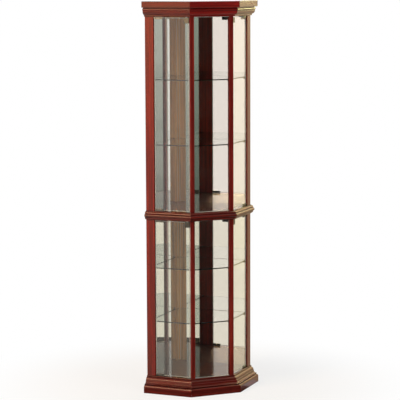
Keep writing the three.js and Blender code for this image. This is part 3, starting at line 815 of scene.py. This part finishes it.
# Cross-head screws that hold the latches up, and socket screws that clamp the pivot clips on the glass
screwFacts = {
    "radius": 3.0,
    "height": 1.6,
    "sunk": 0.2,
    "dome": ((1, 0.45), (0.92, 0.78), (0.74, 0.97)),  # shares of the head's radius and height
    "arm": 1.75,
    "armHalf": 0.42,
    "recess": 1.2,
    "narrowed": (0.66, 0.7),  # shares of the arm's length and width at the foot of the recess
}
latchFacts = {"across": 97.06, "screws": (42.5, 54.5), "height": 16}
socketFacts = {
    "radius": 2.6,
    "height": 1.3,
    "sunk": 0.2,
    "dome": ((1, 0.75), (0.9, 1)),
    "hexagon": 1.5,
    "recess": 1.1,
    "narrowed": 0.96,
}
clipFacts = {"across": 47.5, "spread": 11, "cheek": 4.0, "middle": 6.0}


def headRings(facts):
    radius, height = facts["radius"], facts["height"]
    return [circle(radius, -facts["sunk"])] + [circle(radius * out, height * up) for out, up in facts["dome"]]


def screwRings(facts):
    arm, half, height = facts["arm"], facts["armHalf"], facts["height"]
    shorter, thinner = facts["narrowed"]
    foot = cross(arm * shorter, half * thinner, height - facts["recess"])
    return headRings(facts) + [cross(arm, half, height), foot]


def socketRings(facts):
    hexagon, height = facts["hexagon"], facts["height"]
    foot = circle(hexagon * facts["narrowed"], height - facts["recess"], True)
    return headRings(facts) + [circle(hexagon, height, True), foot]


for hand, side in hands.items():
    for story, (floor, ceiling) in stories.items():
        doorFrame = sideFrames[hand]
        under = ceiling - latchFacts["height"]
        addFitting(f"latch_screws_{story}_{hand}", [
            (spot(doorFrame, -side * latchFacts["across"], y, under, downwards), screwRings(screwFacts))
            for y in latchFacts["screws"]
        ], "cabinet", nickel)
        for end, z in (("bottom", floor + clipFacts["middle"]), ("top", ceiling - clipFacts["middle"])):
            across = side * clipFacts["across"]
            addFitting(f"clip_screws_{story}_{hand}_{end}", [
                (spot(doorFrame, across + step, clipFacts["cheek"], z, outwards), socketRings(socketFacts))
                for step in (-clipFacts["spread"], clipFacts["spread"])
            ], f"door_{story}_{hand}", nickel)

# Panel pins that hold the hardboard, down both edges and across at the middle deck
pinFacts = {
    "radius": 1.8,
    "height": 0.3,
    "sunk": 0.3,
    "dome": ((1, 0.4), (0.7, 1)),
    "panel": (-172.86, 137.86),  # the panel's upright edges, along the wall from its middle
    "inset": 9,
    "step": 138,
    "acrossStep": 62,
}


def pinPlaces(facts):
    near, far = facts["panel"][0] + facts["inset"], facts["panel"][1] - facts["inset"]
    bottom, top = stories["lower"][0] + facts["inset"], stories["upper"][1] - facts["inset"]
    deck = (stories["lower"][1] + stories["upper"][0]) / 2
    count = round((top - bottom) / facts["step"])
    steps = round((far - near) / facts["acrossStep"])
    edges = [(x, bottom + i * (top - bottom) / count) for i in range(count + 1) for x in (near, far)]
    return edges + [(near + (far - near) * i / steps, deck) for i in range(1, steps)]


for hand, side in hands.items():
    addFitting(f"panel_pins_{hand}", [
        (spot(wallFrames[hand], side * x, 0, z, outwards), headRings(pinFacts))
        for x, z in pinPlaces(pinFacts)
    ], "cabinet", nickel)

# A flat batten across the joint of the corner boards, between the shelves, with a pale bead on each edge
battenFacts = {
    "half": 7.2,
    "bead": 1.5,  # radius
    "beadPlace": 6.4,
    "clear": 0.3,  # kept free above and below each shelf
    "sunk": 0.2,
    "beadSunk": 0.1,
    "beadSteps": 8,
}
innerCorner = sideRun + halfWidth - plan["cornerBoard"] / slant  # where the boards' inner faces meet


def columnRings(outline, levels):
    return [[(x, y, z) for x, y in outline] for z in levels]


half, bead = battenFacts["half"], battenFacts["bead"]
sunk = battenFacts["sunk"]
beadDepth = innerCorner - half + sunk + battenFacts["beadSunk"]
batten = [(-half, sunk - half), (half, sunk - half), (0, sunk)]
arc = [math.pi * (1 + i / battenFacts["beadSteps"]) for i in range(battenFacts["beadSteps"] + 1)]
halfRound = [(bead * math.cos(a), bead * math.sin(a)) for a in arc]
for story, (floor, ceiling) in stories.items():
    breaks = [floor]
    for top in sleeveFacts["shelfTops"]:
        if floor < top < ceiling:
            breaks += [top - sleeveFacts["shelfThick"], top]
    breaks.append(ceiling)
    runs = [
        (low + battenFacts["clear"], high - battenFacts["clear"])
        for low, high in zip(breaks[::2], breaks[1::2])
    ]
    middle = spot(frontFrame, 0, innerCorner, 0, Matrix())
    addFitting(f"corner_batten_{story}", [
        (middle, columnRings(batten, levels)) for levels in runs
    ], "cabinet", veneerUpright)
    addFitting(f"corner_beads_{story}", [
        (spot(frontFrame, x, beadDepth, 0, Matrix()), columnRings(halfRound, levels))
        for levels in runs
        for x in (-battenFacts["beadPlace"], battenFacts["beadPlace"])
    ], "cabinet", beadWood)
print("small fittings made")
